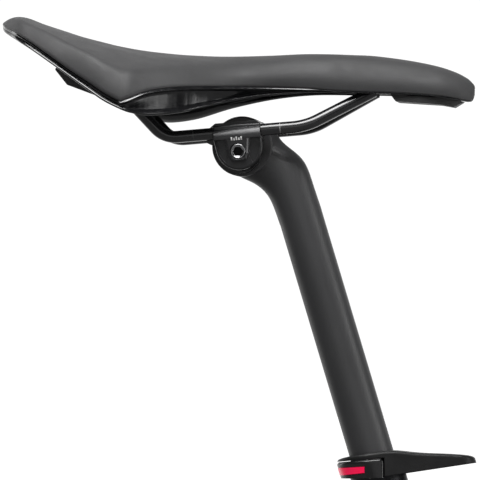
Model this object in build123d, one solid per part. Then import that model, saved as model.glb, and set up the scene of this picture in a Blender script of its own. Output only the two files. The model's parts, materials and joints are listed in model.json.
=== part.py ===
from build123d import *
import os
from math import cos, radians, sin, tan

# Telescopic suspension seatpost with a layback head, its rail clamp, the saddle that it holds and the
# collar cover with a tail light that sits round its foot.
# Row frame, millimetres: +X forward, +Y left, +Z up. The origin is on the post's axis, at the top of the
# length that the bicycle's seat tube clamps. Rest is the post fully extended, with no rider.

# ---- driving dimensions ----
LEAN = 16.7                # post axis leans back from vertical, degrees
CLAMPED = 165.0            # length of the lower tube below the origin
TUBE_R = 15.8              # lower tube, outside
TUBE_BORE_R = 14.1
NUT_THREAD_R = 14.6        # counterbore for the gland nut
TUBE_TOP = 13.0
STANCHION_R = 12.7         # sliding upper tube, outside
STANCHION_BORE_R = 10.4
STANCHION_FOOT = -60.0
BORE_TOP = 150.0
NECK_FOOT = 164.0          # where the round tube starts to swell into the neck
KEY_W = 3.0                # brass guide keys
KEY_R = 14.85
KEY_ANGLES = (90.0, 210.0, 330.0)

SPRING_FOOT = -132.0
SPRING_TOP = -12.0
SPRING_COILS = 16
SPRING_R = 8.1             # to the wire's centre
WIRE_R = 1.6

RAIL_R = 3.5               # 7 mm saddle rails
RAIL_HALF = 22.0           # half the 44 mm between the rails
RAIL_PITCH = 4.6           # rails rise forward, degrees
RAIL_ABOVE_BOLT = 11.4
BOLT_T, BOLT_F = 210.3, -21.6      # clamp bolt, along and across the post's axis
HEAD_T, HEAD_F, HEAD_R = 213.3, -19.9, 17.3
HEAD_HALF = 12.0
BOLT_HOLE_R = 3.3
BOLT_R = 3.0
BOLT_HEAD_R = 4.4
BAND_HALF = 13.8           # half the length of the cheek's band along the rail
BAND_HEIGHT = 8.3
CHEEK_INNER, CHEEK_FACE, BOSS_FACE = 22.2, 26.2, 28.6
WASHER_SEAT = 23.8

SADDLE_X, SADDLE_Z = -80.4, 206.3  # saddle datum, on the rails above the bolt
COVER_T = 1.6
GAP = 0.15

COLLAR_BORE_R = 15.87
COLLAR_R = 21.0
LENS_FRONT = -9.0          # upright front ends of the lens
LED_R = 18.62

POST = Rot(0, -LEAN, 0)


def post_point(t, f):
    """Row X and Z of a point t along and f in front of the post's axis."""
    lean = radians(LEAN)
    return f * cos(lean) - t * sin(lean), t * cos(lean) + f * sin(lean)


BOLT_X, BOLT_Z = post_point(BOLT_T, BOLT_F)
CLAMP = Pos(BOLT_X, 0, BOLT_Z) * Rot(0, -RAIL_PITCH, 0)


# ---- small helpers ----
def rod(radius, bottom, top):
    """Cylinder on the Z axis between two heights."""
    return Pos(0, 0, bottom) * Cylinder(radius, top - bottom, align=(Align.CENTER, Align.CENTER, Align.MIN))


def ring(outer, inner, bottom, top):
    """Tube on the Z axis between two heights."""
    return rod(outer, bottom, top) - rod(inner, bottom - 1, top + 1)


def pin_y(radius, low, high, x=0.0, z=0.0):
    """Cylinder along Y between two y values."""
    return Pos(x, (low + high) / 2, z) * Rot(90, 0, 0) * Cylinder(radius, high - low)


def slab_y(points, low, high):
    """Prism along Y of an outline of (x, z) points."""
    outline = Plane.XZ * make_face(Polyline(*points, close=True))
    return Pos(0, (low + high) / 2, 0) * extrude(outline, (high - low) / 2, both=True)


def mirrored(shape):
    """The same shape on the other side of the XZ plane."""
    return mirror(shape, about=Plane.XZ)


def hexagon_z(across_flats, bottom, top):
    """Hexagonal prism on the Z axis."""
    outline = RegularPolygon(across_flats / 2, 6, major_radius=False)
    return Pos(0, 0, bottom) * extrude(outline, top - bottom)


# ---- lower tube and what it holds ----
def key_slots(radius, width, bottom, top):
    """Three radial bars, used to cut slots and to make keys."""
    bars = []
    for angle in KEY_ANGLES:
        bar = Box(radius, width, top - bottom, align=(Align.MIN, Align.CENTER, Align.MIN))
        bars.append(Rot(0, 0, angle) * Pos(0, 0, bottom) * bar)
    return Part() + bars


def outer_tube():
    body = rod(TUBE_R, -CLAMPED, TUBE_TOP)
    body = chamfer(body.edges().group_by(Axis.Z)[0], 0.8)
    body -= rod(TUBE_BORE_R, -CLAMPED - 1, TUBE_TOP + 1)
    body -= rod(NUT_THREAD_R, 3, TUBE_TOP + 1)
    body -= ring(TUBE_R + 1, TUBE_R - 0.2, 0, 1.2)
    grooves = key_slots(KEY_R + 0.1, KEY_W + 0.1, -CLAMPED - 1, -32) & rod(KEY_R + 0.1, -CLAMPED - 1, -32)
    return body - grooves


def gland_nut():
    body = rod(NUT_THREAD_R - 0.05, 3.1, 13) + rod(TUBE_R, 13, 18.8)
    body = fillet(body.edges().group_by(Axis.Z)[-1], 1.2)
    body -= rod(STANCHION_R + 0.25, 3, 20)
    body -= rod(14.2, 14.5, 20)
    for angle in range(0, 360, 60):
        body -= Rot(0, 0, angle) * Pos(TUBE_R + 0.2, 0, 15.6) * Cylinder(1.1, 2.4)
    return body


def wiper_seal():
    body = ring(14.15, STANCHION_R + 0.05, 14.5, 18.4)
    lip = Pos(0, 0, 18.4) * Cone(13.7, 12.95, 0.9, align=(Align.CENTER, Align.CENTER, Align.MIN))
    return body + (lip - rod(STANCHION_R + 0.05, 18, 20))


def upper_bushing():
    return ring(TUBE_BORE_R - 0.05, STANCHION_R + 0.04, -20, 2.6)


def topout_ring():
    return ring(14.0, STANCHION_R + 0.25, -25, -20.4)


def main_spring():
    pitch = (SPRING_TOP - SPRING_FOOT - 2 * WIRE_R - 0.4) / SPRING_COILS
    start = SPRING_FOOT + WIRE_R + 0.2
    path = Helix(pitch=pitch, height=pitch * SPRING_COILS, radius=SPRING_R)
    section = Plane(path @ 0, z_dir=path % 0) * Circle(WIRE_R)
    return Pos(0, 0, start) * sweep(section, path=path)


def guide_rod():
    return rod(5.6, SPRING_FOOT - 1, SPRING_FOOT + 20) + rod(10.2, SPRING_FOOT - 4, SPRING_FOOT - 0.1)


def preload_plug():
    body = rod(14.0, -150, SPRING_FOOT - 4.1)
    body = chamfer(body.edges().group_by(Axis.Z)[0], 0.7)
    return body - hexagon_z(8.0, -151, -142)


# ---- sliding upper post ----
def neck_section(t, f, half_x, half_y, lean_t, lean_f):
    """Ellipse across the neck: centre, half sizes, and the direction of its long way."""
    across = Vector(lean_f, 0, lean_t).normalized()
    plane = Plane(origin=(f, 0, t), x_dir=across, z_dir=across.cross(Vector(0, 1, 0)))
    return plane * Ellipse(half_x, half_y)


def post_head():
    """Solid layback neck that runs from the round tube into the clamp's round barrel."""
    sections = [
        neck_section(NECK_FOOT - 16, 0, STANCHION_R, STANCHION_R, 0, 1),
        neck_section(NECK_FOOT - 8, 0, STANCHION_R, STANCHION_R, 0, 1),
        neck_section(164.2, -0.05, 12.75, 12.7, 0, 1),
        neck_section(172.4, -0.3, 12.9, 12.7, 0, 1),
        neck_section(180.6, -0.8, 13.2, 12.6, 0.1, 0.995),
        neck_section(188.8, -2.2, 14.3, 12.4, 0.22, 0.98),
        neck_section(197.2, -6.9, 15.1, 12.0, 0.335, 0.942),
        neck_section(204.9, -12.8, 16.0, 11.8, 0.46, 0.888),
        neck_section(HEAD_T, HEAD_F, HEAD_R - 0.1, 11.8, 0.499, 0.867),
    ]
    neck = loft(sections) - rod(2 * STANCHION_R, NECK_FOOT - 20, NECK_FOOT)
    barrel = fillet(pin_y(HEAD_R, -HEAD_HALF, HEAD_HALF).edges().filter_by(GeomType.CIRCLE), 1.0)
    return neck + Pos(HEAD_F, 0, HEAD_T) * barrel


def post_tube():
    body = rod(STANCHION_R, STANCHION_FOOT, NECK_FOOT) + post_head()
    body -= rod(STANCHION_BORE_R, STANCHION_FOOT - 1, -8)
    body -= rod(STANCHION_BORE_R - 0.6, -9, BORE_TOP)
    body -= Pos(0, 0, BORE_TOP) * Sphere(STANCHION_BORE_R - 0.6)
    body -= Pos(BOLT_F, 0, BOLT_T) * pin_y(BOLT_HOLE_R, -20, 20)
    pockets = key_slots(KEY_R, KEY_W, -50, -34) - rod(STANCHION_R - 1.0, -51, -33)
    return body - pockets


def slider_bush():
    body = ring(TUBE_BORE_R - 0.05, STANCHION_R + 0.02, -56, -25.3)
    return body - key_slots(KEY_R + 1, KEY_W + 0.1, -50.1, -33.9)


def guide_keys():
    bars = key_slots(KEY_R, KEY_W - 0.04, -49.98, -34.02)
    return (bars & rod(KEY_R, -51, -33)) - rod(STANCHION_R - 0.95, -51, -33)


def spring_seat():
    return rod(STANCHION_BORE_R - 0.05, SPRING_TOP, -8.05)


def elastomer_core():
    core = rod(5.5, -62, SPRING_TOP - 0.05)
    for waist in range(-56, -16, 10):
        core -= Pos(0, 0, waist) * Torus(6.3, 1.4)
    return core


# ---- rail clamp, in the clamp's own frame ----
def cradle():
    """Inner half of the left rail grip: a disc against the post's barrel under a notched bar."""
    bar = slab_y([(-18.0, 6.4), (-15.5, 5), (12.5, 5), (14.0, 6.4), (14.0, 14.8), (11.6, 17.2),
                  (-12.5, 17.2), (-18.0, 13.2)], 12.1, 21.8)
    bar = fillet(bar.edges().filter_by(Axis.Y), 0.8)
    body = bar + pin_y(12.2, 12.1, 17.0) + pin_y(8.5, 12.1, 21.8)
    body -= Pos(0, RAIL_HALF, RAIL_ABOVE_BOLT) * Rot(0, 90, 0) * Cylinder(RAIL_R + 0.05, 60)
    return body - pin_y(BOLT_HOLE_R, 10, 25)


def cheek_plate():
    """Shield-shaped plate under the rail band, hollowed on both sides of a flared tongue."""
    foot = Pos(0.6, 2.6) * Circle(13.3)
    band = Pos(0, RAIL_ABOVE_BOLT) * Rectangle(2 * BAND_HALF, BAND_HEIGHT)
    outline = make_hull(band.edges() + foot.edges())
    plate = extrude(Plane.XZ * outline, -CHEEK_FACE) - Box(80, 2 * CHEEK_INNER, 80)
    plate = fillet(plate.faces().sort_by(Axis.Y)[-1].edges(), 1.2)
    field = offset(outline, -1.5) & Pos(0, -4) * Rectangle(60, 23)
    hourglass = [(-8.6, 20), (-7.0, 4), (-6.2, -3), (-8.2, -8), (-12.0, -20)]
    tongue = Polyline(*hourglass, *[(-x, z) for x, z in reversed(hourglass)], close=True)
    scoops = extrude(Plane.XZ * (field - make_face(tongue)), -30) - Box(80, 2 * (CHEEK_FACE - 1.5), 80)
    return plate - scoops


def cheek():
    """Outer half of the left rail grip: a shield with a rounded band along the rail."""
    slope = Pos(-2.4, -BAND_HEIGHT / 2) * Circle(9.2)
    profile = slope & Pos(10 + CHEEK_INNER - RAIL_HALF, 0) * Rectangle(20, BAND_HEIGHT)
    band = Pos(-BAND_HALF, RAIL_HALF, RAIL_ABOVE_BOLT) * extrude(Plane.YZ * profile, 2 * BAND_HALF)
    ends = band.faces().sort_by(Axis.X)
    band = fillet(ends[0].edges() + ends[-1].edges(), 0.5)
    side = [(-7.0, 9), (-5.6, -1.5), (-4.0, -5.8)]
    outline = Polyline(*side, *[(-x, z) for x, z in reversed(side)], close=True)
    boss = extrude(Plane.XZ * make_face(outline), -BOSS_FACE) - Box(80, 2 * CHEEK_INNER, 80)
    boss = fillet(boss.edges().filter_by(Axis.Y).sort_by(Axis.Z)[0:4], 2.0)
    boss = chamfer(boss.faces().sort_by(Axis.Y)[-1].edges(), 0.9)
    body = cheek_plate() + band + boss
    body -= Pos(0, RAIL_HALF, RAIL_ABOVE_BOLT) * Rot(0, 90, 0) * Cylinder(RAIL_R + 0.05, 60)
    body -= pin_y(BOLT_HOLE_R, 20, 30)
    return body - pin_y(BOLT_HEAD_R + 0.3, WASHER_SEAT, 30)


def clamp_bolt():
    """Cross bolt: head on the right side, thread in the nut on the left."""
    head = pin_y(BOLT_HEAD_R, -28.8, -WASHER_SEAT - 1.05)
    head = fillet(head.edges().sort_by(Axis.Y)[0], 0.6)
    lead = Pos(0, -28.485, 0) * Rot(90, 0, 0) * Cone(2.6, 3.69, 0.75)
    socket = Pos(0, -30, 0) * Rot(-90, 0, 0) * hexagon_z(5.0, 0, 4.4)
    return head + pin_y(BOLT_R, -WASHER_SEAT - 1.1, 28.0) - socket - lead


def clamp_nut():
    return pin_y(BOLT_HEAD_R, WASHER_SEAT + 1.05, 28.6) - pin_y(BOLT_R + 0.06, 23, 30)


def clamp_washers():
    washer = pin_y(BOLT_HEAD_R + 0.2, WASHER_SEAT + 0.02, WASHER_SEAT + 1.02) - pin_y(BOLT_R + 0.15, 23, 26)
    return Part() + [washer, mirrored(washer)]


# ---- saddle, in the saddle's own frame ----
# Stations along the saddle: x, half width, cover's edge z, ridge z, shell rim's half width, rim z.
TAIL = [
    (-139.5, 8.0, 62.0, 64.2, 8.0, 60.2),
    (-135.0, 19.0, 60.4, 66.6, 19.0, 57.4),
    (-126.0, 36.0, 56.2, 66.4, 36.0, 52.3),
    (-106.0, 53.0, 43.3, 59.5, 53.0, 39.3),
    (-84.5, 65.0, 29.0, 53.6, 65.0, 25.0),
    (-65.0, 72.0, 16.8, 49.1, 72.0, 12.5),
]
NOSE = [
    (-65.0, 72.0, 16.8, 49.1, 72.0, 12.5),
    (-56.0, 68.6, 20.2, 47.6, 68.0, 8.1),
    (-46.0, 64.0, 23.2, 46.2, 60.0, 7.2),
    (-31.7, 55.0, 25.3, 45.2, 47.0, 9.2),
    (-8.0, 38.5, 26.1, 44.3, 31.0, 16.1),
    (18.0, 28.0, 26.0, 45.2, 24.6, 20.8),
    (46.0, 22.5, 24.1, 45.8, 21.0, 23.0),
    (88.0, 19.5, 22.8, 42.7, 18.2, 21.9),
    (112.0, 17.5, 21.2, 38.7, 16.2, 20.3),
    (124.0, 13.5, 19.7, 34.2, 12.0, 18.9),
    (131.0, 8.0, 18.6, 30.4, 6.8, 17.8),
    (133.6, 3.5, 23.6, 27.4, 2.6, 23.0),
]
FOAM_SHARE = 0.5           # shell's crown, as a share of the height from edge to ridge
SHELL_T = 2.4
SIDES = (0.3, 0.55, 0.75, 0.88, 0.96, 0.99, 1.0)


def crown(x, half, edge, ridge, power, side):
    """Arched spline across the saddle at one station, from the left edge to the right one."""
    shares = [-s for s in reversed(SIDES)] + [0.0] + list(SIDES)
    points = []
    for share in shares:
        height = max(0.0, 1 - abs(share) ** power) ** side
        points.append((x, -half * share, edge + (ridge - edge) * height))
    return Spline(*points)


def side_power(x):
    """Sides stand nearly upright at the wings and round off towards the nose."""
    return 0.31 + 0.19 * min(1.0, max(0.0, (x + 65) / 85))


def ring_face(upper, lower, *corners):
    """Closed face between an upper and a lower arch, joined at each end by straight runs."""
    right = [upper @ 1, *corners, lower @ 1]
    left = [lower @ 0, *[Vector(p.X, -p.Y, p.Z) for p in reversed(corners)], upper @ 0]
    edges = [upper]
    edges += [Line(a, b) for a, b in zip(right, right[1:])]
    edges += [lower]
    edges += [Line(a, b) for a, b in zip(left, left[1:])]
    return make_face(edges)


def shell_crown(edge, ridge):
    return edge + FOAM_SHARE * (ridge - edge)


def cover_face(x, half, edge, ridge, rim_half, rim):
    wall = min(COVER_T, 0.3 * (ridge - edge))
    outer = crown(x, half, edge, ridge, 2.2, side_power(x))
    inner = crown(x, half - COVER_T, edge, ridge - wall, 2.2, side_power(x))
    return ring_face(outer, inner)


def foam_face(x, half, edge, ridge, rim_half, rim):
    wall = min(COVER_T, 0.3 * (ridge - edge)) + GAP
    outer = crown(x, half - COVER_T - GAP, edge + GAP, ridge - wall, 2.2, side_power(x))
    inner = crown(x, half - COVER_T - 1.4, edge + GAP, shell_crown(edge, ridge) + GAP, 2.0, 0.6)
    return ring_face(outer, inner)


def shell_face(x, half, edge, ridge, rim_half, rim):
    """Thin arch with an upright outer wall that drops from the cover's edge to the rim."""
    drop = min(1.0, max(0.0, (edge - rim - 4) / 11))
    seat = edge - 3 * GAP
    wall = min(SHELL_T, 0.3 * (ridge - edge))
    upper = crown(x, half - COVER_T - 1.5, seat, shell_crown(edge, ridge) - GAP, 2.0, 0.6)
    lower = crown(x, rim_half - 2.0, rim, shell_crown(edge, ridge) - wall, 2.0, 0.6 - 0.32 * drop)
    return ring_face(upper, lower, Vector(x, -half, seat), Vector(x, -rim_half, rim))


def lengthwise(face_at, nose=NOSE):
    """Loft one saddle layer through the tail's and the nose's stations, with a crease at the wings."""
    return loft([face_at(*station) for station in TAIL]) + loft([face_at(*station) for station in nose])


def rail_height(x):
    """Height of the straight stretch of the rails in the saddle's frame."""
    grip_x = BOLT_X - RAIL_ABOVE_BOLT * sin(radians(RAIL_PITCH)) - SADDLE_X
    grip_z = BOLT_Z + RAIL_ABOVE_BOLT * cos(radians(RAIL_PITCH)) - SADDLE_Z
    return grip_z + (x - grip_x) * tan(radians(RAIL_PITCH))


def rail_rod(radius):
    """Left rail: rear leg up to the bridge, straight grip, front leg up to the nose."""
    rear, front = -43.7, 37.8
    path = FilletPolyline(
        (-72.9, 28.8, 28.8),
        (rear, RAIL_HALF, rail_height(rear)),
        (front, RAIL_HALF, rail_height(front)),
        (75.9, 9.05, 23.7),
        radius=(15.0, 30.0),
    )
    section = Plane(path @ 0, z_dir=path % 0) * Circle(radius)
    return sweep(section, path=path)


def rear_bridge():
    block = slab_y([(-106, 36.5), (-98.6, 27.2), (-80, 20.2), (-67.5, 22.5), (-67.5, 28.6), (-80, 33.2),
                    (-98, 40.0)], -34, 34)
    block = fillet(block.edges().filter_by(Axis.Y), 1.0)
    return block - slab_y([(-110, 10), (-58, 10), (-58, 22.2), (-80, 27.0), (-110, 36.0)], -19, 19)


def nose_socket():
    block = Pos(75, 0, 24.7) * Box(18, 28.4, 4.0)
    return chamfer(block.faces().sort_by(Axis.Z)[-1].edges(), 2.6)


def nose_bumper():
    side = slab_y([(86.0, 21.6), (88.9, 17.8), (114, 16.0), (121.8, 14.5), (127.6, 17.6), (124, 18.6),
                   (112, 20.1)], -17, 17)
    plan = Pos(107, 0) * Rectangle(46, 32.4) & Pos(86, 0) * Ellipse(42.3, 17.5)
    return side & extrude(plan, 40)


# ---- collar cover and tail light ----
def slab_face(outline, low, high):
    """Prism along Y of a closed chain of lines and curves drawn in X and Z."""
    return Pos(0, (low + high) / 2, 0) * extrude(Plane.XZ * make_face(outline), (high - low) / 2, both=True)


def axis_prism(rear_r, front_r, front_f, bottom, top):
    """Upright prism along the post's axis: round behind, tapering to a small round front."""
    plan = make_hull(Circle(rear_r).edges() + (Pos(front_f, 0) * Circle(front_r)).edges())
    return POST * Pos(0, 0, bottom) * extrude(plan, top - bottom)


def rear_sector(radius, half_angle, height=80):
    """Wedge about the post's axis that opens to the rear."""
    reach = 2 * radius
    turn = radians(half_angle)
    points = [(0, 0), (-reach * cos(turn), reach * sin(turn)), (-reach, reach * sin(turn)),
              (-reach, -reach * sin(turn)), (-reach * cos(turn), -reach * sin(turn))]
    return POST * Pos(0, 0, -20) * extrude(make_face(Polyline(*points, close=True)), height)


def light_band(inset, front=2.0):
    """Band across the light, narrower towards its upright front ends, shrunk by an inset."""
    low, high, slope_low, slope_high = 12.15 + inset, 15.4 - inset, 0.109, 0.066
    length = 34.0
    rear_low, rear_high = low - slope_low * length, high - slope_high * length
    front_low, front_high = low - slope_low * (2 - front), high - slope_high * (2 - front)
    return slab_y([(2 - length, rear_low), (front, front_low), (front, front_high), (2 - length, rear_high)],
                  -30, 30)


SCREW_PLACES = [(-18.4 * cos(radians(84)), side * 18.4 * sin(radians(84))) for side in (1, -1)]


def collar_cover():
    rim_rear, seam_front, step, tip = (-27.5, 17.0), (2.2, 19.8), (2.5, 8.9), (54.9, 16.8)
    under = Polyline(rim_rear, seam_front, step, (51.6, 16.3), tip)
    top = Spline(tip, (53.6, 19.1), (47.4, 21.1), (30, 22.05), (16.5, 22.8), (6, 23.7), (-8, 22.1),
                 (-19.8, 20.1), (-24.2, 18.9), (-27.5, 17.5))
    closing = Line((-27.5, 17.5), rim_rear)
    body = axis_prism(20.3, 10, 46.4, -10, 50) & slab_face(under + top + closing, -30, 30)
    body = fillet(body.faces().sort_by(Axis.Z)[-1].edges(), 1.8)
    hollow = slab_y([(4.9, 0), (4.9, 20.2), (16, 19.8), (46.4, 18.2), (51.6, 17.6), (51.6, 0)], -30, 30)
    body -= axis_prism(18.2, 8, 46, -20, 60) & hollow
    body -= POST * rod(COLLAR_BORE_R, -20, 60)
    for f, y in SCREW_PLACES:
        body -= POST * Pos(f, y, 0) * rod(1.3, 0, 21.5)
    return body


def light_housing():
    profile = slab_y([(-27.5, 7.6), (1.8, 7.9), (1.8, 19.4), (-27.5, 16.6)], -30, 30)
    profile = fillet(profile.edges().filter_by(Axis.Y).sort_by(Axis.X)[-1], 2.5)
    body = (POST * rod(COLLAR_R, -20, 60)) & profile
    body = fillet(body.faces().sort_by(Axis.Z)[-1].edges(), 1.5)
    body -= POST * rod(16.1, -20, 60)
    window = light_band(0, LENS_FRONT)
    body -= (POST * ring(COLLAR_R + 1, 19.1, -20, 60)) & window
    body -= (POST * ring(19.2, 17.3, -20, 60)) & light_band(0.2) & rear_sector(20, 66)
    for f, y in SCREW_PLACES:
        body -= POST * Pos(f, y, 0) * rod(1.35, 0, 40)
        body -= POST * Pos(f, y, 0) * rod(2.0, 0, 10.6)
    return body


def light_lens():
    return (POST * ring(COLLAR_R + 0.2, 19.2, -20, 60)) & light_band(0.1, LENS_FRONT - 0.1)


def light_board():
    band = light_band(0.35) & rear_sector(20, 65)
    return (POST * ring(18.2, 17.4, -20, 60)) & band


def light_leds():
    chips = []
    for angle in range(-56, 57, 28):
        f, y = -LED_R * cos(radians(angle)), LED_R * sin(radians(angle))
        height = 11.4 + 1.9 * (1 - cos(radians(angle)))
        along = (height - f * sin(radians(LEAN))) / cos(radians(LEAN))
        chips.append(POST * Pos(f, y, along) * Rot(0, 0, 180 - angle) * Box(0.8, 2.4, 1.6))
    return Part() + chips


def light_screws():
    screws = []
    for f, y in SCREW_PLACES:
        shank = rod(1.25, 10.4, 21.0)
        head = rod(1.9, 9.0, 10.5) - hexagon_z(1.5, 8.9, 9.9)
        screws.append(POST * Pos(f, y, 0) * (shank + head))
    return Part() + screws


# ---- assembly ----
def lower_and_upper_post():
    return {
        "outer_tube": outer_tube(),
        "gland_nut": gland_nut(),
        "wiper_seal": wiper_seal(),
        "upper_bushing": upper_bushing(),
        "topout_ring": topout_ring(),
        "main_spring": main_spring(),
        "guide_rod": guide_rod(),
        "preload_plug": preload_plug(),
        "post_tube": post_tube(),
        "slider_bush": slider_bush(),
        "guide_keys": guide_keys(),
        "spring_seat": spring_seat(),
        "elastomer_core": elastomer_core(),
    }


def rail_clamp():
    left_cradle, left_cheek = cradle(), cheek()
    return {
        "cradle_left": left_cradle,
        "cradle_right": mirrored(left_cradle),
        "cheek_left": left_cheek,
        "cheek_right": mirrored(left_cheek),
        "clamp_bolt": clamp_bolt(),
        "clamp_nut": clamp_nut(),
        "clamp_washers": clamp_washers(),
    }


def saddle():
    rail, socket = rail_rod(RAIL_R), rail_rod(RAIL_R + 0.05)
    sockets = Part() + [socket, mirrored(socket)]
    return {
        "saddle_cover": lengthwise(cover_face),
        "saddle_foam": lengthwise(foam_face),
        "saddle_shell": lengthwise(shell_face, NOSE[:-1]),
        "rail_left": rail,
        "rail_right": mirrored(rail),
        "rear_bridge": rear_bridge() - sockets,
        "nose_socket": nose_socket() - sockets,
        "nose_bumper": nose_bumper(),
    }


def collar():
    return {
        "collar_cover": collar_cover(),
        "light_housing": light_housing(),
        "light_lens": light_lens(),
        "light_board": light_board(),
        "light_leds": light_leds(),
        "light_screws": light_screws(),
    }


def placed():
    """Every node in the row frame."""
    nodes = {name: POST * shape for name, shape in lower_and_upper_post().items()}
    nodes.update({name: CLAMP * shape for name, shape in rail_clamp().items()})
    nodes.update({name: Pos(SADDLE_X, 0, SADDLE_Z) * shape for name, shape in saddle().items()})
    nodes.update(collar())
    return nodes


os.makedirs("parts", exist_ok=True)
for node, shape in placed().items():
    export_step(shape, f"parts/{node}.step")
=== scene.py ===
"""Looks of the suspension seatpost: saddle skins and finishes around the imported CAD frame. Metres."""
import json
import math

import bpy
from mathutils import Matrix, Vector


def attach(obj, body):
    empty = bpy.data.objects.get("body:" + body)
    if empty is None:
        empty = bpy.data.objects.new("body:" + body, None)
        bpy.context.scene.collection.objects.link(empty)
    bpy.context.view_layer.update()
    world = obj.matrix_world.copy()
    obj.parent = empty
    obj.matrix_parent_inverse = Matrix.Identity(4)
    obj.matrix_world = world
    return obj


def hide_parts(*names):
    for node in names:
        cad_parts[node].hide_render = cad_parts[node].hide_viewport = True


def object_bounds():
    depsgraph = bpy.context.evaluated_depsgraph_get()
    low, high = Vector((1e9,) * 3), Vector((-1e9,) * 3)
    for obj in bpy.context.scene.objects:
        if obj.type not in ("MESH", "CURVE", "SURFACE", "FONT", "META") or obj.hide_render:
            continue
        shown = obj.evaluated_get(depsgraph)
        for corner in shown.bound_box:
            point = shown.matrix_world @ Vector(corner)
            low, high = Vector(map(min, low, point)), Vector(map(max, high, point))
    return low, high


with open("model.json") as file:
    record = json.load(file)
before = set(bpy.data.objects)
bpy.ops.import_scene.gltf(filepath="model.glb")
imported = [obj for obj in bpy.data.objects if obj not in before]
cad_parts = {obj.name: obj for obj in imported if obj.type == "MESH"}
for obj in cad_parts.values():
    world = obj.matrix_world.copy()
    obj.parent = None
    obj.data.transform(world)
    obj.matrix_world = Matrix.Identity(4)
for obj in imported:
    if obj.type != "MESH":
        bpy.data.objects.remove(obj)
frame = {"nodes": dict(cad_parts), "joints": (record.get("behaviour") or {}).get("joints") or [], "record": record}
cad_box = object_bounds()

MM = 0.001
nodes = frame["nodes"]
joints = {joint["name"]: joint for joint in frame["joints"]}
BOLT = Vector(joints["saddle_tilt"]["pos_m"])
RAIL_AXIS = Vector(joints["saddle_slide"]["axis"])
POST_AXIS = Vector(joints["suspension_travel"]["axis"])
RAIL_PITCH = math.atan2(RAIL_AXIS.z, RAIL_AXIS.x)
POST_LEAN = math.atan2(-POST_AXIS.x, POST_AXIS.z)
SADDLE = BOLT + Vector((0.72, 0, 11.08)) * MM      # saddle datum, on the rails above the bolt

CLAMP_FRAME = Matrix.Translation(BOLT) @ Matrix.Rotation(-RAIL_PITCH, 4, "Y")
POST_FRAME = Matrix.Rotation(-POST_LEAN, 4, "Y")


# ---------------------------------------------------------------- shader helpers
def ramp(tree, value, low, high, to_low=0.0, to_high=1.0):
    """Map a value from one range to another, clamped."""
    ranged = tree.nodes.new("ShaderNodeMapRange")
    for socket, number in zip(ranged.inputs[1:5], (low, high, to_low, to_high)):
        socket.default_value = number
    tree.links.new(value, ranged.inputs["Value"])
    return ranged.outputs["Result"]


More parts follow.
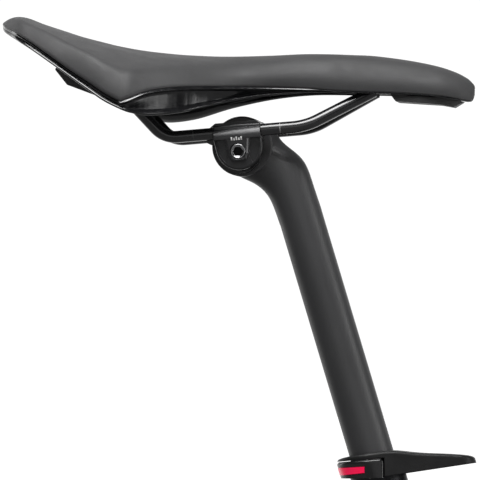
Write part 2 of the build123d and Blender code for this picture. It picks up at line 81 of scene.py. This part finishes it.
class Shader:
    """A node material with short ways to add noise, masks and bumps. Coordinates are the piece's own."""

    def __init__(self, name, color, roughness, metallic=0.0, **sockets):
        self.material = bpy.data.materials.new(name)
        self.material.use_nodes = True
        self.tree = self.material.node_tree
        self.bsdf = self.tree.nodes["Principled BSDF"]
        self.bsdf.inputs["Base Color"].default_value = (*color, 1)
        self.bsdf.inputs["Roughness"].default_value = roughness
        self.bsdf.inputs["Metallic"].default_value = metallic
        for socket, value in sockets.items():
            self.bsdf.inputs[socket.replace("_", " ")].default_value = value
        self.color = color
        self.normal = None
        coordinates = self.node("ShaderNodeTexCoord")
        self.place = coordinates.outputs["Object"]

    def node(self, kind, **settings):
        made = self.tree.nodes.new(kind)
        for key, value in settings.items():
            setattr(made, key, value)
        return made

    def link(self, source, target):
        self.tree.links.new(source, target)

    def local(self, matrix, scale=(1, 1, 1)):
        """Coordinates in another frame, given as the matrix that places it in the row frame."""
        inverse = matrix.inverted()
        mapping = self.node("ShaderNodeMapping")
        mapping.inputs["Location"].default_value = inverse.to_translation()
        mapping.inputs["Rotation"].default_value = inverse.to_euler()
        self.link(self.place, mapping.inputs["Vector"])
        stretched = self.node("ShaderNodeVectorMath", operation="MULTIPLY")
        self.link(mapping.outputs["Vector"], stretched.inputs[0])
        stretched.inputs[1].default_value = scale
        return stretched.outputs["Vector"]

    def noise(self, scale, detail=3.0, place=None):
        noise = self.node("ShaderNodeTexNoise")
        noise.inputs["Scale"].default_value = scale
        noise.inputs["Detail"].default_value = detail
        noise.inputs["Roughness"].default_value = 0.55
        self.link(place or self.place, noise.inputs["Vector"])
        return noise.outputs["Fac"]

    def cells(self, scale):
        cells = self.node("ShaderNodeTexVoronoi", feature="F1")
        cells.inputs["Scale"].default_value = scale
        self.link(self.place, cells.inputs["Vector"])
        return cells.outputs["Distance"]

    def between(self, value, *limits):
        return ramp(self.tree, value, *limits)

    def math(self, operation, first, second=0.0):
        made = self.node("ShaderNodeMath", operation=operation)
        for socket, value in zip(made.inputs, (first, second)):
            if isinstance(value, (int, float)):
                socket.default_value = value
            else:
                self.link(value, socket)
        return made.outputs["Value"]

    def tint(self, mask, color):
        """Mix another colour into the base colour where the mask is 1."""
        base = self.bsdf.inputs["Base Color"]
        mix = self.node("ShaderNodeMix", data_type="RGBA")
        if base.is_linked:
            self.link(base.links[0].from_socket, mix.inputs[6])
        else:
            mix.inputs[6].default_value = base.default_value
        mix.inputs[7].default_value = (*color, 1)
        self.link(mask, mix.inputs["Factor"])
        self.link(mix.outputs[2], base)

    def vary(self, share, scale, place=None):
        """Uneven base colour, lighter and darker by a share of itself."""
        mottling = self.noise(scale, 4, place)
        self.tint(self.between(mottling, 0.35, 0.5, 1, 0), [c * (1 - share) for c in self.color])
        self.tint(self.between(mottling, 0.5, 0.68), [c * (1 + share) for c in self.color])

    def rough(self, low, high, scale, place=None):
        """Uneven roughness between two limits."""
        value = self.between(self.noise(scale, place=place), 0.3, 0.7, low, high)
        self.link(value, self.bsdf.inputs["Roughness"])

    def bump(self, height, distance, strength):
        """Add one more layer of relief."""
        bump = self.node("ShaderNodeBump")
        bump.inputs["Strength"].default_value = strength
        bump.inputs["Distance"].default_value = distance
        self.link(height, bump.inputs["Height"])
        if self.normal:
            self.link(self.normal, bump.inputs["Normal"])
        self.normal = bump.outputs["Normal"]
        self.link(self.normal, self.bsdf.inputs["Normal"])

    def soft_edges(self, radius):
        """Round off machined edges, so that they catch the light."""
        bevel = self.node("ShaderNodeBevel", samples=6)
        bevel.inputs["Radius"].default_value = radius
        self.normal = bevel.outputs["Normal"]
        self.link(self.normal, self.bsdf.inputs["Normal"])

    def painted_edge_highlight(self, color, radius, amount):
        """Painted highlight: a lighter colour along convex edges, broken up by noise."""
        bevel = self.node("ShaderNodeBevel", samples=6)
        bevel.inputs["Radius"].default_value = radius
        flat = self.node("ShaderNodeNewGeometry").outputs["Normal"]
        dot = self.node("ShaderNodeVectorMath", operation="DOT_PRODUCT")
        self.link(bevel.outputs["Normal"], dot.inputs[0])
        self.link(flat, dot.inputs[1])
        edge = self.between(dot.outputs["Value"], 0.98, 0.8)
        broken = self.between(self.noise(900, 4), 0.42, 0.62)
        mask = self.math("MULTIPLY", self.math("MULTIPLY", edge, broken), amount)
        self.tint(mask, color)

    def axes(self, place):
        """The x, y and z of a coordinate."""
        axes = self.node("ShaderNodeSeparateXYZ")
        self.link(place, axes.inputs["Vector"])
        return axes.outputs

    def slab_mask(self, value, low, high):
        """1 where a value lies between two limits."""
        above = self.math("GREATER_THAN", value, low)
        return self.math("MULTIPLY", above, self.math("LESS_THAN", value, high))

    def box_mask(self, place, low, high):
        """1 inside a box, given by two corners in millimetres."""
        masks = [self.slab_mask(value, low[i] * MM, high[i] * MM) for i, value in enumerate(self.axes(place))]
        return self.math("MULTIPLY", masks[0], self.math("MULTIPLY", masks[1], masks[2]))


# ---------------------------------------------------------------- materials
def cover_skin():
    """Matte synthetic cover with a fine pebbled grain."""
    s = Shader("cover_synthetic", (0.0365, 0.0365, 0.0376), 0.62, Sheen_Weight=0.08, Sheen_Roughness=0.5)
    s.vary(0.1, 38)
    s.rough(0.52, 0.68, 90)
    s.bump(s.noise(160, 4), 0.0004, 0.25)
    s.bump(s.cells(2100), 0.00008, 0.5)
    s.bump(s.noise(4200, 2), 0.00004, 0.5)
    return s.material


def foam():
    s = Shader("foam_padding", (0.05, 0.05, 0.052), 0.95)
    s.vary(0.25, 300)
    s.bump(s.cells(1500), 0.0003, 0.7)
    return s.material


def shell_plastic():
    """Gloss nylon with long glass fibres: faint upright streaks in the gloss."""
    s = Shader("shell_gloss", (0.008, 0.008, 0.009), 0.2, Coat_Weight=0.5, Coat_Roughness=0.06)
    streaks = s.noise(300, 5, s.local(Matrix.Identity(4), (1, 1, 0.12)))
    s.link(s.between(streaks, 0.3, 0.7, 0.1, 0.26), s.bsdf.inputs["Roughness"])
    s.tint(s.between(streaks, 0.52, 0.78), (0.022, 0.022, 0.023))
    s.bump(streaks, 0.00015, 0.7)
    s.bump(s.noise(60, 2), 0.0003, 0.1)
    return s.material


def rail_coat():
    """Gloss black coated steel, with a fine white line at each end of the clamping length."""
    s = Shader("rail_black", (0.013, 0.013, 0.014), 0.16, Coat_Weight=0.6, Coat_Roughness=0.06)
    s.rough(0.12, 0.24, 140)
    s.bump(s.noise(700, 3), 0.00005, 0.35)
    grip = s.local(CLAMP_FRAME)
    line_width, side, low, high = 0.6, 30, 8.5, 14.5
    for end, white in ((-25.6, 0.06), (24.6, 0.2)):
        line = s.box_mask(grip, (end, -side, low), (end + line_width, side, high))
        s.tint(line, (white, white, white))
    return s.material


def clamp_metal():
    """Black anodised forging, with generic torque ticks printed above the bolt."""
    s = Shader("clamp_black", (0.015, 0.015, 0.016), 0.3, metallic=0.35, Coat_Weight=0.25, Coat_Roughness=0.2)
    s.soft_edges(0.0005)
    s.vary(0.18, 120)
    s.rough(0.26, 0.4, 260)
    s.bump(s.noise(1500, 3), 0.00004, 0.5)
    # painted highlight: a lighter grey tinted along the clamp's convex edges
    s.painted_edge_highlight((0.16, 0.16, 0.165), 0.0004, 0.7)
    face = s.local(CLAMP_FRAME)
    pitch, shift, half, foot = 1.4, -0.2, 0.42, 6.5
    outside, inside = -29.5, -27.7
    for step in range(-2, 3):
        centre = step * pitch + shift
        height = 1.9 if step % 2 == 0 else 1.3
        tick = s.box_mask(face, (centre - half, outside, foot), (centre + half, inside, foot + height))
        s.tint(tick, (0.75, 0.75, 0.74))
    return s.material


def post_paint():
    """Satin black paint with a very fine orange peel, a touch uneven along the tube."""
    s = Shader("post_satin_black", (0.04, 0.04, 0.0415), 0.42)
    along = s.local(POST_FRAME, (1, 1, 0.25))
    s.vary(0.1, 45, place=along)
    s.rough(0.38, 0.47, 60, place=along)
    s.bump(s.noise(1300, 3), 0.00004, 0.5)
    s.bump(s.noise(55, 2, along), 0.0006, 0.12)
    return s.material


def turned_metal(name, color, roughness, metallic, pitch=0.35, relief=0.00003):
    """Turned or drawn metal: fine rings round the post's axis."""
    s = Shader(name, color, roughness, metallic)
    s.soft_edges(0.0003)
    rings = s.node("ShaderNodeTexWave", wave_type="BANDS", bands_direction="Z")
    rings.inputs["Scale"].default_value = 1 / (pitch * MM) / 20
    rings.inputs["Distortion"].default_value = 0.6
    s.link(s.local(POST_FRAME), rings.inputs["Vector"])
    s.vary(0.12, 90)
    s.rough(roughness * 0.85, roughness * 1.2, 200, place=s.local(POST_FRAME, (1, 1, 8)))
    s.bump(rings.outputs["Fac"], relief, 0.6)
    return s


def tube_metal():
    """Hard-anodised tube with a generic depth scale on its rear."""
    s = turned_metal("tube_anodised", (0.024, 0.024, 0.026), 0.36, 0.6)
    place = s.local(POST_FRAME)
    pitch, thick, rear = 10, 0.25, -17
    for step in range(15):
        height = -pitch * (step + 1)
        half = 5.0 if step % 5 == 4 else 2.6
        tick = s.box_mask(place, (rear, -half, height - thick), (0, half, height + thick))
        s.tint(tick, (0.5, 0.5, 0.5))
    return s.material


def bolt_metal(name, color, roughness):
    """Turned and plated steel, with painted shade inside the socket of the clamp bolt."""
    s = Shader(name, color, roughness, metallic=1.0)
    s.soft_edges(0.00025)
    s.vary(0.15, 500)
    s.rough(roughness * 0.8, roughness * 1.3, 700)
    s.bump(s.noise(2500, 2), 0.00003, 0.4)
    # painted shade: the inside of the clamp bolt's socket is tinted near black
    socket = s.box_mask(s.local(CLAMP_FRAME), (-3, -27.8, -3), (3, -23, 3))
    s.tint(socket, (0.01, 0.01, 0.01))
    return s.material


def moulded(name, color, roughness, grain, relief, edge=0.0004, shine=0.5):
    """Moulded plastic or rubber with a spark-eroded grain."""
    s = Shader(name, color, roughness, Specular_IOR_Level=shine)
    s.soft_edges(edge)
    s.vary(0.15, 70)
    s.rough(roughness * 0.88, min(1, roughness * 1.12), 180)
    s.bump(s.cells(grain), relief, 0.55)
    s.bump(s.noise(grain * 0.6, 3), relief * 0.6, 0.5)
    return s.material


def lens_plastic():
    """Red moulded lens with upright optic ribs and a little glow from the chips behind it."""
    s = Shader("lens_red", (0.62, 0.003, 0.045), 0.16, Coat_Weight=0.2, Coat_Roughness=0.05)
    s.bsdf.inputs["Subsurface Weight"].default_value = 0.25
    s.bsdf.inputs["Subsurface Radius"].default_value = (0.004, 0.0006, 0.0006)
    s.bsdf.inputs["Emission Color"].default_value = (1.0, 0.0, 0.09, 1)
    s.bsdf.inputs["Emission Strength"].default_value = 0.4
    s.vary(0.12, 160)
    ribs = s.node("ShaderNodeTexWave", wave_type="BANDS", bands_direction="Y")
    ribs.inputs["Scale"].default_value = 45
    s.link(s.local(POST_FRAME), ribs.inputs["Vector"])
    s.bump(ribs.outputs["Fac"], 0.0002, 0.35)
    return s.material


def board():
    s = Shader("board_green", (0.015, 0.11, 0.045), 0.45)
    s.vary(0.3, 900)
    s.bump(s.cells(1200), 0.0001, 0.4)
    return s.material


def led():
    s = Shader("led_red", (0.8, 0.08, 0.06), 0.3)
    s.bsdf.inputs["Emission Color"].default_value = (1.0, 0.05, 0.05, 1)
    s.bsdf.inputs["Emission Strength"].default_value = 1.2
    s.vary(0.2, 800)
    s.bump(s.noise(3000, 2), 0.00003, 0.4)
    return s.material


MATERIALS = {
    "cover_synthetic": cover_skin(),
    "foam_padding": foam(),
    "shell_gloss": shell_plastic(),
    "rail_black": rail_coat(),
    "clamp_black": clamp_metal(),
    "post_satin_black": post_paint(),
    "tube_anodised": tube_metal(),
    "gland_anodised": turned_metal("gland_anodised", (0.03, 0.03, 0.032), 0.34, 0.6).material,
    "inner_aluminium": turned_metal("inner_aluminium", (0.6, 0.6, 0.62), 0.3, 1.0).material,
    "key_brass": bolt_metal("key_brass", (0.65, 0.46, 0.18), 0.3),
    "spring_steel": bolt_metal("spring_steel", (0.36, 0.36, 0.38), 0.42),
    "bolt_steel": bolt_metal("bolt_steel", (0.3, 0.3, 0.305), 0.22),
    "washer_steel": bolt_metal("washer_steel", (0.5, 0.5, 0.51), 0.3),
    "seal_rubber": moulded("seal_rubber", (0.018, 0.018, 0.018), 0.7, 1800, 0.00005),
    "bearing_polymer": moulded("bearing_polymer", (0.09, 0.08, 0.065), 0.5, 1500, 0.00004),
    "bumper_elastomer": moulded("bumper_elastomer", (0.2, 0.17, 0.11), 0.6, 1200, 0.00006),
    "bridge_plastic": moulded("bridge_plastic", (0.08, 0.08, 0.08), 0.5, 1300, 0.00008),
    "bumper_plastic": moulded("bumper_plastic", (0.017, 0.017, 0.017), 0.55, 1100, 0.0001),
    "collar_matte": moulded("collar_matte", (0.009, 0.009, 0.0093), 0.45, 1400, 0.00006, 0.0009, 0.3),
    "housing_gloss": moulded("housing_gloss", (0.012, 0.012, 0.0125), 0.16, 900, 0.00001, 0.0007),
    "lens_red": lens_plastic(),
    "board_green": board(),
    "led_red": led(),
}


def finish_cad_nodes():
    """Every carried-over CAD node takes the material that its slot names."""
    for part in frame["record"]["subparts"]:
        piece = nodes[part["node"]]
        for material_slot in piece.material_slots:
            material_slot.material = MATERIALS[part["material_slot"]]


# ---------------------------------------------------------------- saddle surfaces
# Stations in millimetres from the saddle's datum: where the cover's lower edge is (x, half width, z), where
# the ridge is (x, z), the crease between top and side (share of width, share of height) and how softly it
# turns (mm), then the shell's rim (half width, z) and how deep its side is scooped.
WING_CORNER = (-63.6, 71.7, 16.4, -63.6, 49.0, 0.93, 0.53, 1.9, 71.3, 11.6, 0.0)
TAIL = [
    (-139.8, 2.0, 63.6, -140.0, 64.0, 0.60, 0.80, 0.2, 1.6, 61.6, 0.0),
    (-138.6, 9.0, 62.9, -137.4, 65.5, 0.66, 0.78, 0.5, 8.4, 59.6, 0.0),
    (-135.6, 18.0, 61.1, -131.8, 67.7, 0.72, 0.78, 1.2, 17.4, 57.3, 0.0),
    (-127.5, 34.0, 57.1, -125.0, 67.0, 0.80, 0.79, 2.0, 33.7, 52.6, 0.0),
    (-117.7, 44.0, 51.3, -115.5, 63.4, 0.84, 0.78, 2.0, 43.9, 46.6, 0.0),
    (-106.3, 53.0, 43.6, -104.0, 59.6, 0.87, 0.74, 1.6, 52.9, 39.0, 0.0),
    (-94.6, 60.0, 35.5, -93.0, 56.0, 0.90, 0.68, 1.4, 59.9, 31.0, 0.0),
    (-81.5, 66.6, 27.2, -81.0, 52.9, 0.92, 0.62, 1.3, 66.4, 21.8, 0.0),
    (-73.0, 70.1, 21.5, -73.0, 50.9, 0.93, 0.57, 1.5, 69.8, 16.2, 0.0),
    WING_CORNER,
]
NOSE = [
    WING_CORNER,
    (-58.0, 70.5, 18.8, -58.0, 48.1, 0.92, 0.51, 3.0, 70.0, 9.7, 0.2),
    (-48.1, 65.0, 22.9, -48.1, 46.8, 0.88, 0.50, 4.5, 64.6, 8.4, 0.3),
    (-31.7, 55.0, 25.4, -31.7, 45.3, 0.84, 0.56, 5.0, 53.8, 10.2, 0.3),
    (-10.0, 39.5, 26.2, -10.0, 44.6, 0.78, 0.64, 5.0, 37.0, 15.6, 0.3),
    (15.0, 28.6, 26.2, 15.0, 45.3, 0.72, 0.74, 4.6, 26.8, 20.3, 0.2),
    (38.0, 24.0, 25.2, 38.0, 46.4, 0.66, 0.82, 4.4, 22.4, 22.5, 0.3),
    (62.0, 21.0, 23.6, 62.0, 45.9, 0.62, 0.84, 4.2, 19.4, 22.4, 0.0),
    (90.0, 19.4, 22.6, 90.0, 42.8, 0.60, 0.83, 4.2, 17.4, 21.7, 0.0),
    (112.0, 17.2, 21.2, 110.0, 39.1, 0.60, 0.80, 4.0, 15.2, 20.3, 0.0),
    (123.4, 13.2, 19.7, 121.6, 35.5, 0.62, 0.78, 3.4, 11.6, 18.9, 0.0),
    (128.9, 8.6, 18.7, 128.9, 31.8, 0.66, 0.74, 2.4, 7.4, 18.0, 0.0),
    (131.7, 5.0, 19.0, 132.2, 28.8, 0.70, 0.70, 1.4, 4.0, 18.4, 0.0),
    (132.9, 2.4, 21.0, 133.3, 27.2, 0.70, 0.64, 0.7, 1.8, 20.6, 0.0),
    (133.2, 0.6, 23.0, 133.6, 25.8, 0.70, 0.60, 0.2, 0.5, 22.8, 0.0),
]
CHANNEL_HALF, CHANNEL_DEPTH = 8.5, 2.4     # shallow relief channel along the top
COVER_THICKNESS = 1.5
PADDING_GAP = 0.3                          # between the cover's inside and its padding

# The shell's own small shapes, in millimetres outward and down or up: the bead under the cover's edge and the
# rounded rim at the foot of its side.
LIP = ((0.0, 0.0), (1.2, 0.0), (1.3, 0.1), (2.05, 1.15), (2.1, 1.3), (1.9, 1.6), (0.2, 1.9))
RIM = ((-0.9, 2.6), (-0.8, 2.5), (-0.05, 1.5), (0.0, 1.4), (-0.15, 0.5), (-0.8, 0.0))


def spline_rows(rows, per_span):
    """Rows of numbers passed through smoothly, several in-between rows to each span."""
    smooth = []
    for i in range(len(rows) - 1):
        before = rows[i - 1] if i else rows[0]
        after = rows[i + 2] if i + 2 < len(rows) else rows[-1]
        for step in range(per_span):
            t = step / per_span
            h = (2 * t**3 - 3 * t**2 + 1, t**3 - 2 * t**2 + t, -2 * t**3 + 3 * t**2, t**3 - t**2)
            row = []
            for a, b, c, d in zip(before, rows[i], rows[i + 1], after):
                row.append(h[0] * b + h[1] * (c - a) / 2 + h[2] * c + h[3] * (d - b) / 2)
            smooth.append(row)
    smooth.append(list(rows[-1]))
    return smooth


def saddle_rows():
    """The stations from tail to nose, with a sharp corner where the two tables meet."""
    return spline_rows(TAIL, 9)[:-1] + spline_rows(NOSE, 8)


def resampled(points, count):
    """The same polyline with evenly spaced points."""
    lengths = [0.0]
    for a, b in zip(points, points[1:]):
        lengths.append(lengths[-1] + math.dist(a, b))
    made, span = [], 0
    for i in range(count):
        want = lengths[-1] * i / (count - 1)
        while span < len(points) - 2 and lengths[span + 1] < want:
            span += 1
        share = (want - lengths[span]) / max(1e-9, lengths[span + 1] - lengths[span])
        share = min(1.0, max(0.0, share))
        made.append([p + (q - p) * share for p, q in zip(points[span], points[span + 1])])
    return made


def softened(points, radius):
    """A polyline whose corners are rounded over about a radius, with its ends kept."""
    spacing = max(1e-6, math.dist(points[0], points[1]))
    rounds = int(min(400, (radius / spacing) ** 2))
    for _ in range(rounds):
        inner = [
            [0.25 * a + 0.5 * b + 0.25 * c for a, b, c in zip(points[i - 1], points[i], points[i + 1])]
            for i in range(1, len(points) - 1)
        ]
        points = [[points[0][0], inner[0][1]], *inner, points[-1]]
    return points


def fade(value, start, end):
    """0 before start, 1 after end, smooth between."""
    t = min(1.0, max(0.0, (value - start) / (end - start)))
    return t * t * (3 - 2 * t)


def cover_half(row, inset):
    """Half section of the cover from ridge to edge, as (across, up) points."""
    edge_x, half, edge_z, ridge_x, ridge_z, crease_w, crease_h, softness = row[:8]
    half, ridge_z = half - inset, ridge_z - inset
    crease = (half * crease_w, edge_z + (ridge_z - edge_z) * crease_h)
    tuck = fade(edge_x, -30, 35)
    outline = []
    for i in range(41):
        share = i / 40
        outline.append([crease[0] * share, ridge_z - (ridge_z - crease[1]) * share**2.1])
    for i in range(1, 17):
        share = i / 16
        bulge = half * ((0.05 + 0.3 * tuck) * share * (1 - share) - 0.09 * tuck * share**3)
        across = crease[0] + (half - crease[0]) * share**0.85 + bulge
        outline.append([across, crease[1] + (edge_z - crease[1]) * share])
    outline = softened(resampled(outline, 60), softness)
    return resampled(outline, 34)


def channel(x, y, inset):
    """How far the top is sunk by the relief channel."""
    along = fade(x, -92, -55) * (1 - fade(x, 40, 78))
    across = 0.5 + 0.5 * math.cos(math.pi * min(1.0, abs(y) / CHANNEL_HALF))
    return (CHANNEL_DEPTH if inset == 0 else CHANNEL_DEPTH * 0.9) * along * across


def cover_sections(inset=0.0):
    """Left-to-right sections of the cover, tail to nose, as lists of points in millimetres."""
    sections = []
    for row in saddle_rows():
        half = max(row[1] - inset, 0.3)
        points = []
        for y, z in cover_half(row, inset):
            x = row[3] + (row[0] - row[3]) * min(1.0, y / half) ** 2
            points.append((x, y, z - channel(x, y, inset)))
        left = [(x, y, z) for x, y, z in reversed(points[1:])]
        sections.append(left + [(x, -y, z) for x, y, z in points])
    return sections


def grid_piece(name, sections, closed_ring=False, capped=False):
    """A mesh through equal sections of points in millimetres, placed at the saddle's datum."""
    width = len(sections[0])
    vertices = [SADDLE + Vector(p) * MM for section in sections for p in section]
    faces = []
    across = width if closed_ring else width - 1
    for i in range(len(sections) - 1):
        for j in range(across):
            k = (j + 1) % width
            faces.append((i * width + j, i * width + k, (i + 1) * width + k, (i + 1) * width + j))
    if capped:
        faces.append(tuple(reversed(range(width))))
        faces.append(tuple(range((len(sections) - 1) * width, len(sections) * width)))
    mesh = bpy.data.meshes.new(name)
    mesh.from_pydata(vertices, [], faces)
    mesh.update()
    mesh.shade_smooth()
    piece = bpy.data.objects.new(name, mesh)
    bpy.context.scene.collection.objects.link(piece)
    return piece


def dress(piece, material, body, *stands_for):
    """Give a new piece its finish, its body and the CAD nodes that it replaces."""
    piece.data.materials.append(MATERIALS[material])
    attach(piece, body)
    if stands_for:
        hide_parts(*stands_for)
    return piece


def saddle_cover():
    """Thin skin, rolled under at its lower edge."""
    sections = []
    for section in cover_sections():
        left, right = section[0], section[-1]
        under_left, under_right = [], []
        for inward, down in ((0.35, -0.35), (0.9, -0.5)):
            under_left.insert(0, (left[0], left[1] - max(0, min(inward, left[1])), left[2] + down))
            under_right.append((right[0], right[1] + max(0, min(inward, -right[1])), right[2] + down))
        sections.append(under_left + section + under_right)
    piece = grid_piece("cover_skin", sections)
    skin = piece.modifiers.new("skin", "SOLIDIFY")
    skin.thickness = COVER_THICKNESS * MM
    skin.offset = -1
    return piece


def saddle_padding():
    """Foam that fills the space between the cover and the shell."""
    sections = []
    for section in cover_sections(inset=COVER_THICKNESS + PADDING_GAP):
        left, right = section[0], section[-1]
        lowest, crown = left[2], section[len(section) // 2][2]
        floor = []
        for i in range(1, 12):
            share = 1 - i / 6
            rise = 0.45 * max(0.0, crown - lowest) * (1 - share * share) ** 0.6
            floor.append((left[0], right[1] + (left[1] - right[1]) * i / 12, lowest + rise))
        sections.append(section + floor)
    return grid_piece("cover_padding", sections, closed_ring=True, capped=True)


def shell_half(row):
    """Half section of the shell: under the foam, down the scooped side, round the rim and back inside."""
    edge_x, half, edge_z, ridge_x, ridge_z = row[:5]
    rim_half, rim_z, scoop = row[8:11]
    crown = edge_z + 0.42 * (ridge_z - edge_z)
    seat_half, seat_z = max(half - 3.2, 0.4), edge_z - 0.5
    size = min(1.0, half / 8, (seat_z - rim_z) / 6.5)
    bead = size * fade(edge_x, -66, -63.6) * (1 - fade(edge_x, 25, 60))
    points = []
    for i in range(11):
        share = i / 10
        points.append((seat_half * share, seat_z + (crown - seat_z) * (1 - share**2) ** 0.6))
    for out, down in LIP:
        points.append((half - 1.0 + out * bead, seat_z - down * size))
    top = (half - 1.4 - 1.4 * bead, seat_z - 2.2 * size)
    foot = (rim_half - 0.6 - 2.0 * size, rim_z + 2.9 * size)
    wall = []
    for i in range(9):
        share = i / 8
        bow = scoop * math.sin(math.pi * share) ** 0.75
        wall.append((top[0] + (foot[0] - top[0]) * share - bow, top[1] + (foot[1] - top[1]) * share))
    points += wall
    points += [(rim_half + out * size, rim_z + up * size) for out, up in RIM]
    points.append((rim_half - 1.7 * size, rim_z + 0.1))
    inside = [(max(0.2, y - 2.0 * size), z + 0.1) for y, z in reversed(wall)]
    points += inside
    start_y, start_z = inside[-1]
    for i in range(1, 11):
        share = 1 - i / 10
        points.append((start_y * share, start_z + (crown - 2.4 * size - start_z) * (1 - share**2) ** 0.6))
    return points


def saddle_shell():
    """The shell from the tail to just short of the nose's tip, which the cover wraps by itself."""
    sections = []
    for row in saddle_rows()[:-3]:
        half = shell_half(row)
        x = row[0]
        right = [(x, -y, z) for y, z in half]
        left = [(x, y, z) for y, z in reversed(half[1:-1])]
        sections.append(right + left)
    return grid_piece("shell_base", sections, closed_ring=True, capped=True)


def build_saddle():
    cover = dress(saddle_cover(), "cover_synthetic", "saddle", "saddle_cover")
    dress(saddle_padding(), "foam_padding", "saddle", "saddle_foam")
    dress(saddle_shell(), "shell_gloss", "saddle", "saddle_shell")


# ---------------------------------------------------------------- floor, light and camera
FLOOR_REACH, FLOOR_GAP = 40.0, 0.004
FLOOR_SEEN, FLOOR_GREY = 0.8, 0.12                  # base colour for the camera, and for everything else
FLOOR_GLOW, WORLD_GLOW = 1.1, 1.05                  # strength for the camera
WORLD_CAST = 0.02
FLOOR_MIRRORED = (0.1, 0.7, 0.06, 0.9)              # from y, to y, strength there
WORLD_MIRRORED = (0.5, 1.0, WORLD_CAST, 1.1)
SOFT_LIGHTS = [                                     # name, place, width and height, watts
    ("key_softbox", (-0.15, -1.1, 1.6), (1.5, 0.7), 22),
    ("front_softbox", (0.1, -2.1, 0.6), (2.0, 1.3), 4),
    ("top_softbox", (-0.3, -0.55, 1.5), (2.0, 0.4), 28),
    ("right_strip", (1.5, -0.25, 0.2), (0.35, 1.4), 8),
    ("front_right_strip", (1.24, -0.91, 0.3), (0.1, 1.8), 1.3),
    ("left_strip", (-1.4, 0.9, 0.4), (0.3, 1.2), 2),
]
LIGHT_AIM = Vector((-0.08, 0, 0.17))
CAMERA_AIM = Vector((-0.0826, 0, 0.1449))
CAMERA_AZIMUTH, CAMERA_ELEVATION, CAMERA_DISTANCE = math.radians(5.5), math.radians(-1.0), 4.5
VIEW_WIDTH, SENSOR = 0.2767, 36


def by_ray(tree, seen, mirrored, cast):
    """A level that differs for the camera, for a mirrored view and for the light that is cast."""
    rays = tree.nodes.new("ShaderNodeLightPath")
    for kind, high in (("Is Glossy Ray", mirrored), ("Is Camera Ray", seen)):
        level = tree.nodes.new("ShaderNodeMapRange")
        for socket, value in (("To Min", cast), ("To Max", high)):
            if isinstance(value, float):
                level.inputs[socket].default_value = value
            else:
                tree.links.new(value, level.inputs[socket])
        tree.links.new(rays.outputs[kind], level.inputs["Value"])
        cast = level.outputs["Result"]
    return cast


def build_floor():
    """Pale paper, white to the camera and dim to the object, so that it doesn't light it from below."""
    mesh = bpy.data.meshes.new("floor")
    level = cad_box[0][2] - FLOOR_GAP
    corners = [(x * FLOOR_REACH, y * FLOOR_REACH, level) for x, y in ((-1, -1), (1, -1), (1, 1), (-1, 1))]
    mesh.from_pydata(corners, [], [(0, 1, 2, 3)])
    floor = bpy.data.objects.new("floor", mesh)
    bpy.context.scene.collection.objects.link(floor)
    s = Shader("floor_paper", (FLOOR_SEEN,) * 3, 0.9)
    s.bsdf.inputs["Emission Color"].default_value = (1, 1, 1, 1)
    mirrored = s.between(s.axes(s.place)["Y"], *FLOOR_MIRRORED)
    s.link(by_ray(s.tree, FLOOR_GLOW, mirrored, 0.0), s.bsdf.inputs["Emission Strength"])
    s.link(by_ray(s.tree, FLOOR_SEEN, FLOOR_GREY, FLOOR_GREY), s.bsdf.inputs["Base Color"])
    floor.data.materials.append(s.material)


def area_light(name, where, size, power):
    light = bpy.data.lights.new(name, "AREA")
    light.shape = "RECTANGLE"
    light.size, light.size_y = size
    light.energy = power
    lamp = bpy.data.objects.new(name, light)
    lamp.location = where
    lamp.rotation_euler = (LIGHT_AIM - Vector(where)).to_track_quat("-Z", "Y").to_euler()
    bpy.context.scene.collection.objects.link(lamp)


def build_light():
    """White studio: bright behind the object, dim in front, with three soft boxes and three strips."""
    world = bpy.data.worlds.new("studio")
    bpy.context.scene.world = world
    world.use_nodes = True
    tree = world.node_tree
    direction = tree.nodes.new("ShaderNodeTexCoord")
    axes = tree.nodes.new("ShaderNodeSeparateXYZ")
    tree.links.new(direction.outputs["Generated"], axes.inputs["Vector"])
    mirrored = ramp(tree, axes.outputs["Y"], *WORLD_MIRRORED)
    back = tree.nodes["Background"]
    back.inputs["Color"].default_value = (1, 1, 1, 1)
    tree.links.new(by_ray(tree, WORLD_GLOW, mirrored, WORLD_CAST), back.inputs["Strength"])
    for name, where, size, power in SOFT_LIGHTS:
        area_light(name, where, size, power)


def build_camera():
    """Long lens from the bicycle's right side, a little in front of and below the object's middle."""
    level = math.cos(CAMERA_ELEVATION)
    offset = Vector((math.sin(CAMERA_AZIMUTH) * level, -math.cos(CAMERA_AZIMUTH) * level,
                     math.sin(CAMERA_ELEVATION)))
    data = bpy.data.cameras.new("camera")
    data.sensor_width = SENSOR
    data.lens = SENSOR * CAMERA_DISTANCE / VIEW_WIDTH
    data.clip_end = 200
    camera = bpy.data.objects.new("camera", data)
    camera.location = CAMERA_AIM + offset * CAMERA_DISTANCE
    camera.rotation_euler = (-offset).to_track_quat("-Z", "Y").to_euler()
    bpy.context.scene.collection.objects.link(camera)
    bpy.context.scene.camera = camera
    bpy.context.scene.view_settings.view_transform = "Standard"


finish_cad_nodes()
build_saddle()
build_floor()
build_light()
build_camera()
